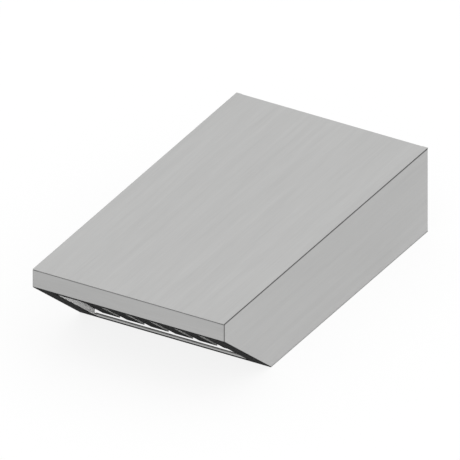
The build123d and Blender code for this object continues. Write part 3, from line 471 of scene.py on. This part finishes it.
def dress_casing():
    side = cad_high.x
    front = cad_low.y
    fold_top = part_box("right_side_panel")[1][2]
    # Cover, sides and fascia: one stainless in greys of painted light and shade, with dark lines of
    # painted shade along their seams and edges
    cover = brushed_steel("cover stainless painted lit", "Y", cover_grey_painted_lit, shade_seams=[
        seam_shade("X", side, -1, cover_side_shade_line),
        seam_shade("X", -side, 1, cover_side_shade_line),
        seam_shade("Y", front, 1, cover_front_shade_line),
    ])
    sides = brushed_steel("side stainless painted light", "Y", side_grey_painted_light, shade_seams=[
        seam_shade("Z", fold_top, -1, side_top_shade_line),
        seam_shade("Y", front, 1, side_front_shade_line),
    ])
    fascia = brushed_steel("fascia stainless painted shade", "X", fascia_grey_painted_shade, shade_seams=[
        seam_shade("X", side, -1, fascia_end_shade_line),
        seam_shade("X", -side, 1, fascia_end_shade_line),
        seam_shade("Z", fold_top, -1, fascia_top_shade_line),
    ])
    dress(["top_cover"], cover)
    dress(["right_side_panel", "left_side_panel"], sides)
    dress(["front_fascia"], fascia)
    dress(
        ["rear_panel", "drip_channel"],
        brushed_steel("crosswise stainless", "X", crosswise_grey),
    )
    dress(["base_panel"], brushed_steel("underside stainless", "Y", underside_grey, rough=0.45))
    # The intake cheeks are painted near-white, far lighter than the casing: painted light making up
    # for the shade in the intake recess
    cheek = brushed_steel("cheek painted light", "Y", cheek_grey_painted_light, rough=0.5, metallic=0.0)
    dress(["right_intake_cheek", "left_intake_cheek"], cheek)
    # The intake frame is black: painted shade for its downward-facing face
    dress(["intake_frame"], painted_shade_black("frame painted shade"))
    dress(["top_gasket", "fascia_seals"], rubber("seal rubber"))
    dress(["lip_trim"], rubber("lip rubber", grey=0.16))


def dress_filter():
    slats = [name for name in nodes if name.startswith("filter_slat")]
    baffles = [name for name in nodes if name.startswith("filter_baffle")]
    rails = ["right_filter_rail", "left_filter_rail"]
    # Slats black as painted shade with paler side walls as painted light; baffles and rails black
    # as painted shade
    dress(slats, painted_shade_black("slat painted shade and light", lit_wall_colour=(0.6, 0.6, 0.59)))
    dress(baffles + rails, painted_shade_black("baffle painted shade"))
    dress(
        ["lower_filter_comb", "upper_filter_comb", "filter_pull_plate"],
        mill_steel("filter stainless"),
    )
    dress(["filter_studs"], bright_metal("stud steel", (0.5, 0.5, 0.49), rough=0.3))
    dress(
        ["right_catch_magnet", "left_catch_magnet"],
        moulded_plastic("magnet case", (0.015, 0.015, 0.016), rough=0.5),
    )


def dress_inside():
    dress([
        "front_cover_stiffener", "rear_cover_stiffener", "right_catch_bracket",
        "left_catch_bracket", "coil_front_plate", "fan_partition", "fan_inlet_ring",
        "motor_bridge", "control_box", "control_box_lid", "base_inserts",
    ], galvanised_steel("galvanised sheet"))
    dress([
        "right_steam_tank", "left_steam_tank", "condenser_tubes", "condensate_tray", "drain_pipe",
        "vent_collar", "steam_pipe", "fan_impeller",
    ], mill_steel("mill stainless"))
    dress(["condenser_fins"], bright_metal("fin aluminium", (0.72, 0.73, 0.74), rough=0.3))
    dress(
        ["motor_rotor", "motor_stator"],
        moulded_plastic("motor lacquer", (0.018, 0.018, 0.02), rough=0.4),
    )
    dress(
        ["motor_shaft", "motor_bearings", "rear_screws"],
        bright_metal("ground steel", (0.55, 0.55, 0.54), rough=0.25),
    )
    dress(["control_board"], circuit_board("circuit board"))
    dress(["cable_gland"], moulded_plastic("gland plastic", (0.02, 0.02, 0.021), rough=0.42))
    brass = bright_metal("stud brass", (0.62, 0.44, 0.18), rough=0.3)
    dress(["earth_stud"], brass)
    add_earth_thread(brass)
    add_gland_ring()


# Small pieces on the rear panel

def add_piece(name, shape, body, material):
    """The finished shape becomes a piece that rides on a body."""
    bmesh.ops.recalc_face_normals(shape, faces=shape.faces)
    mesh = bpy.data.meshes.new(name)
    shape.to_mesh(mesh)
    shape.free()
    mesh.shade_smooth()
    mesh.materials.append(material)
    piece = bpy.data.objects.new(name, mesh)
    bpy.context.collection.objects.link(piece)
    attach(piece, body)


def add_gland_ring():
    """The rubber sealing ring that shows at the cable gland's mouth."""
    low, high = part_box("cable_gland")
    mouth = Vector(((low.x + high.x) / 2, high.y, (low.z + high.z) / 2))
    shape = bmesh.new()
    bmesh.ops.create_circle(
        shape, segments=ring_section_sides, radius=ring_section_radius,
        matrix=Matrix.Translation((ring_radius, 0, 0)),
    )
    bmesh.ops.spin(
        shape, geom=shape.verts[:] + shape.edges[:], cent=(0, 0, 0), axis=(0, 1, 0),
        angle=2 * math.pi, steps=ring_steps, use_merge=True,
    )
    bmesh.ops.translate(shape, verts=shape.verts, vec=mouth)
    add_piece("gland_ring", shape, "casing", rubber("ring rubber"))


def add_earth_thread(brass):
    """The rolled thread on the free end of the earth stud: a ridge wound round it."""
    low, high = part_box("earth_stud")
    start = Vector((
        (low.x + high.x) / 2,
        high.y - thread_plain_end - thread_pitch * thread_turns,
        (low.z + high.z) / 2,
    ))
    shape = bmesh.new()
    bmesh.ops.create_circle(shape, segments=ridge_sides, radius=ridge_radius)
    bmesh.ops.scale(shape, verts=shape.verts, vec=(ridge_flattening, 1, 1))
    bmesh.ops.translate(shape, verts=shape.verts, vec=(thread_radius, 0, 0))
    bmesh.ops.spin(
        shape, geom=shape.verts[:] + shape.edges[:], cent=(0, 0, 0), axis=(0, 1, 0),
        angle=2 * math.pi * thread_turns, dvec=(0, thread_pitch / thread_steps_per_turn, 0),
        steps=thread_steps_per_turn * thread_turns, use_merge=False,
    )
    ends = [edge for edge in shape.edges if edge.is_boundary]
    bmesh.ops.holes_fill(shape, edges=ends, sides=ridge_sides)
    bmesh.ops.translate(shape, verts=shape.verts, vec=start)
    add_piece("earth_thread", shape, "casing", brass)


# Floor, sky and lamps

def seen_directly(tree):
    """1 for camera, glossy and transmission rays, else 0."""
    path = tree.nodes.new("ShaderNodeLightPath")
    seen = path.outputs["Is Camera Ray"]
    for ray in ("Is Glossy Ray", "Is Transmission Ray"):
        either = tree.nodes.new("ShaderNodeMath")
        either.operation = "MAXIMUM"
        tree.links.new(seen, either.inputs[0])
        tree.links.new(path.outputs[ray], either.inputs[1])
        seen = either.outputs[0]
    return seen


def pale_floor():
    """Shaded where it lights the object, and mostly even white where it is seen."""
    material = bpy.data.materials.new("pale floor")
    material.use_nodes = True
    tree = material.node_tree
    tree.nodes.clear()
    lit = tree.nodes.new("ShaderNodeBsdfDiffuse")
    lit.inputs["Color"].default_value = (floor_white, floor_white, floor_white, 1)
    glow = tree.nodes.new("ShaderNodeEmission")
    glow.inputs["Color"].default_value = (1, 1, 1, 1)
    share = tree.nodes.new("ShaderNodeMath")
    share.operation = "MULTIPLY"
    share.inputs[1].default_value = floor_glow
    mixed = tree.nodes.new("ShaderNodeMixShader")
    out = tree.nodes.new("ShaderNodeOutputMaterial")
    tree.links.new(seen_directly(tree), share.inputs[0])
    tree.links.new(share.outputs[0], mixed.inputs["Fac"])
    tree.links.new(lit.outputs["BSDF"], mixed.inputs[1])
    tree.links.new(glow.outputs["Emission"], mixed.inputs[2])
    tree.links.new(mixed.outputs["Shader"], out.inputs["Surface"])
    return material


def add_floor():
    shape = bmesh.new()
    bmesh.ops.create_grid(shape, x_segments=1, y_segments=1, size=floor_size / 2)
    mesh = bpy.data.meshes.new("floor")
    shape.to_mesh(mesh)
    shape.free()
    for vertex in mesh.vertices:
        vertex.co.z = cad_low.z - floor_gap
    floor = bpy.data.objects.new("floor", mesh)
    bpy.context.collection.objects.link(floor)
    mesh.materials.append(pale_floor())


def add_sky():
    """Even light all round, and pure white where it is seen."""
    world = bpy.data.worlds.new("studio")
    bpy.context.scene.world = world
    world.use_nodes = True
    tree = world.node_tree
    back = tree.nodes["Background"]
    back.inputs["Color"].default_value = (1, 1, 1, 1)
    level = tree.nodes.new("ShaderNodeMapRange")
    level.inputs["To Min"].default_value = sky_light
    level.inputs["To Max"].default_value = 1.0
    tree.links.new(seen_directly(tree), level.inputs["Value"])
    tree.links.new(level.outputs["Result"], back.inputs["Strength"])


def add_lamp(name, azimuth, elevation, spread, strength):
    """Even light from one side, softened by the width of its source; all angles in degrees."""
    data = bpy.data.lights.new(name, "SUN")
    data.angle = math.radians(spread)
    data.energy = strength
    lamp = bpy.data.objects.new(name, data)
    bpy.context.collection.objects.link(lamp)
    source = direction(math.radians(azimuth), math.radians(elevation))
    lamp.location = source * lamp_distance
    lamp.rotation_mode = "QUATERNION"
    lamp.rotation_quaternion = (-source).to_track_quat("-Z", "Y")


def add_lamps():
    add_lamp("key lamp", azimuth=50, elevation=55, spread=70, strength=0.3)
    add_lamp("low lamp", azimuth=70, elevation=8, spread=120, strength=0.8)


add_camera()
dress_casing()
dress_filter()
dress_inside()
add_floor()
add_sky()
add_lamps()

bpy.context.scene.view_settings.view_transform = "Standard"
